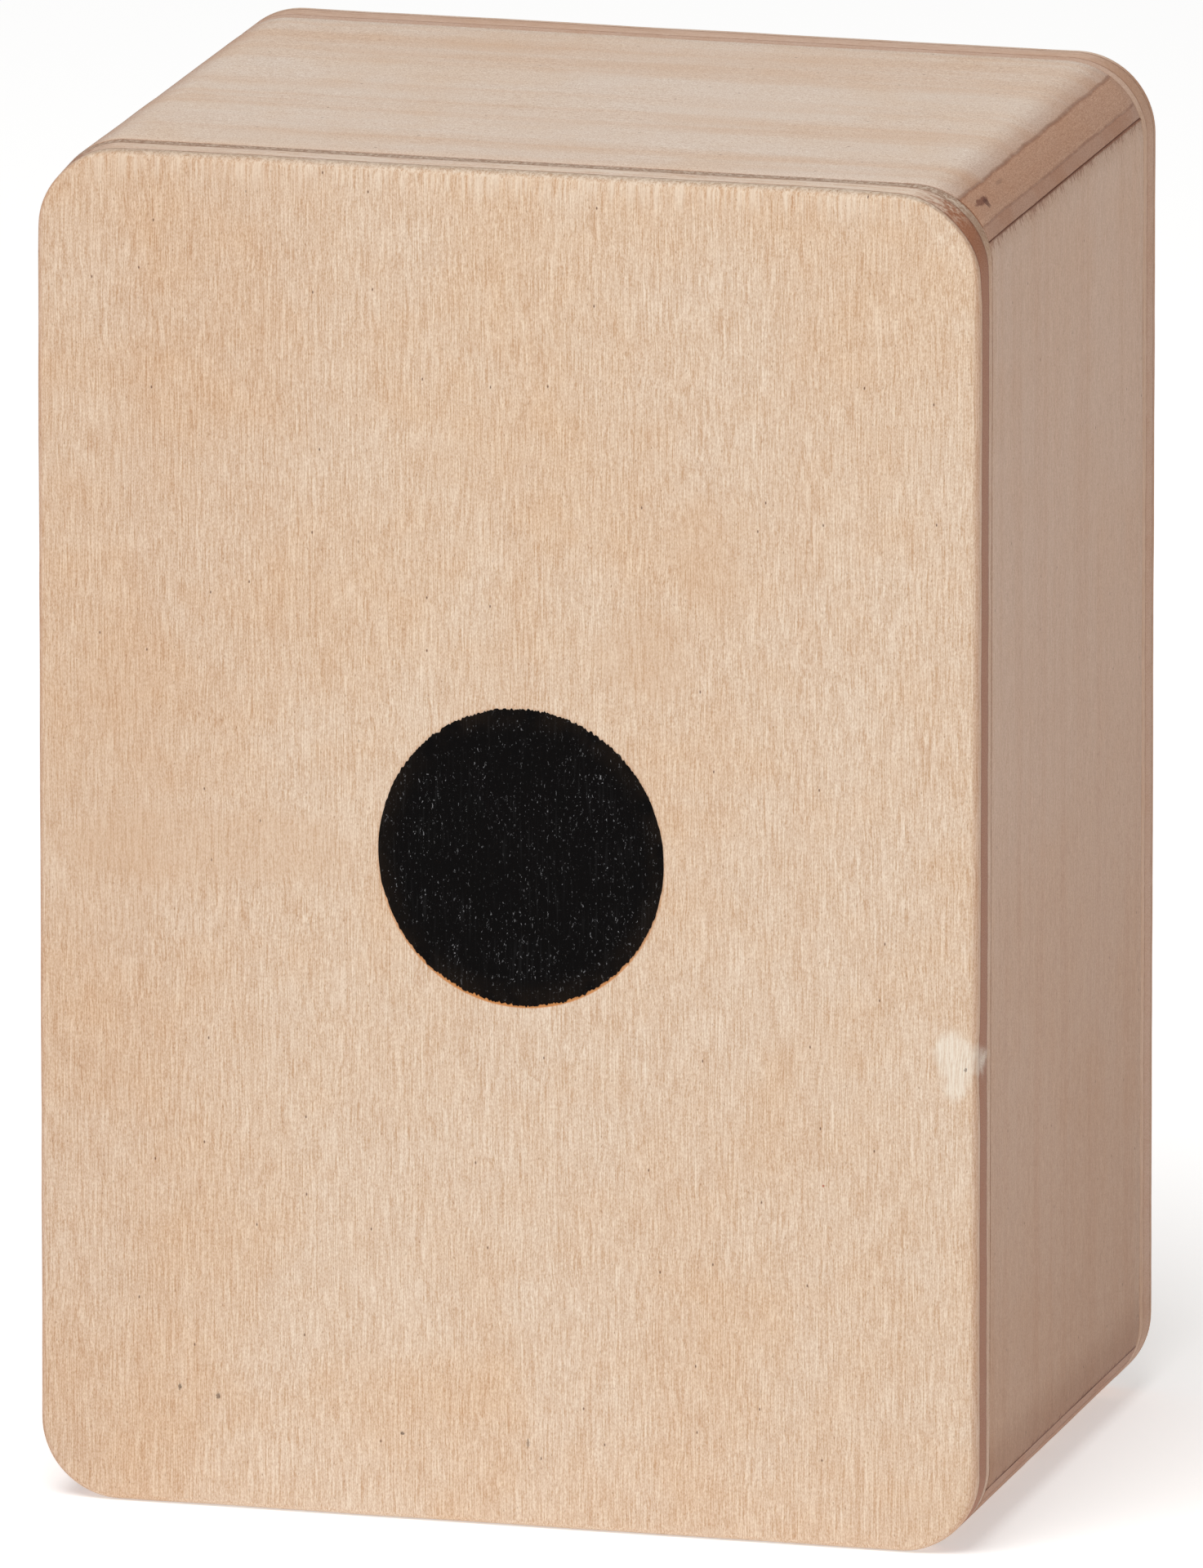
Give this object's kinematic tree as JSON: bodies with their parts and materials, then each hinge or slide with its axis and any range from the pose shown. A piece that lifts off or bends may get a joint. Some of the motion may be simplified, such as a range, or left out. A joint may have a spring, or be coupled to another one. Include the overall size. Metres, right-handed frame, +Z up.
{
  "type": "cajon shaker",
  "caption": "Miniature cajon-shaped shaker: a glued plywood box with rounded corners, a black printed sound hole on the front, and loose shot sealed inside.",
  "frame": {"origin": "the middle of the footprint, on the plane the box stands on", "axes": "+Z up along the box's height, -Y out of the front with the printed disc, +X to the right seen from the front"},
  "size_m": [0.07, 0.052, 0.1],
  "materials": {
    "front_birch": "sanded birch plywood, bare, vertical grain",
    "back_birch": "sanded birch plywood, bare, vertical grain",
    "end_birch": "sanded birch plywood, bare, grain across the width",
    "side_birch": "sanded birch plywood, bare, vertical grain",
    "print_ink": "black printing ink, slightly satin over the wood grain",
    "steel_shot": "plain steel balls, slightly dulled"
  },
  "bodies": {
    "box": {"front_panel": "front_birch", "back_panel": "back_birch", "top_panel": "end_birch", "bottom_panel": "end_birch", "left_panel": "side_birch", "right_panel": "side_birch", "sound_hole_print": "print_ink"},
    "fill": {"pellet_01": "steel_shot", "pellet_02": "steel_shot", "pellet_03": "steel_shot", "pellet_04": "steel_shot", "pellet_05": "steel_shot", "pellet_06": "steel_shot", "pellet_07": "steel_shot", "pellet_08": "steel_shot", "pellet_09": "steel_shot", "pellet_10": "steel_shot", "pellet_11": "steel_shot", "pellet_12": "steel_shot", "pellet_13": "steel_shot", "pellet_14": "steel_shot", "pellet_15": "steel_shot", "pellet_16": "steel_shot", "pellet_17": "steel_shot", "pellet_18": "steel_shot", "pellet_19": "steel_shot", "pellet_20": "steel_shot", "pellet_21": "steel_shot", "pellet_22": "steel_shot", "pellet_23": "steel_shot", "pellet_24": "steel_shot", "pellet_25": "steel_shot", "pellet_26": "steel_shot", "pellet_27": "steel_shot", "pellet_28": "steel_shot", "pellet_29": "steel_shot", "pellet_30": "steel_shot", "pellet_31": "steel_shot", "pellet_32": "steel_shot", "pellet_33": "steel_shot", "pellet_34": "steel_shot", "pellet_35": "steel_shot", "pellet_36": "steel_shot", "pellet_37": "steel_shot", "pellet_38": "steel_shot", "pellet_39": "steel_shot", "pellet_40": "steel_shot"}
  },
  "joints": [
    {"name": "fill_shake", "type": "slide", "parent": "box", "child": "fill", "axis": [0, 0, 1], "range_m": [0, 0.0874]}
  ]
}
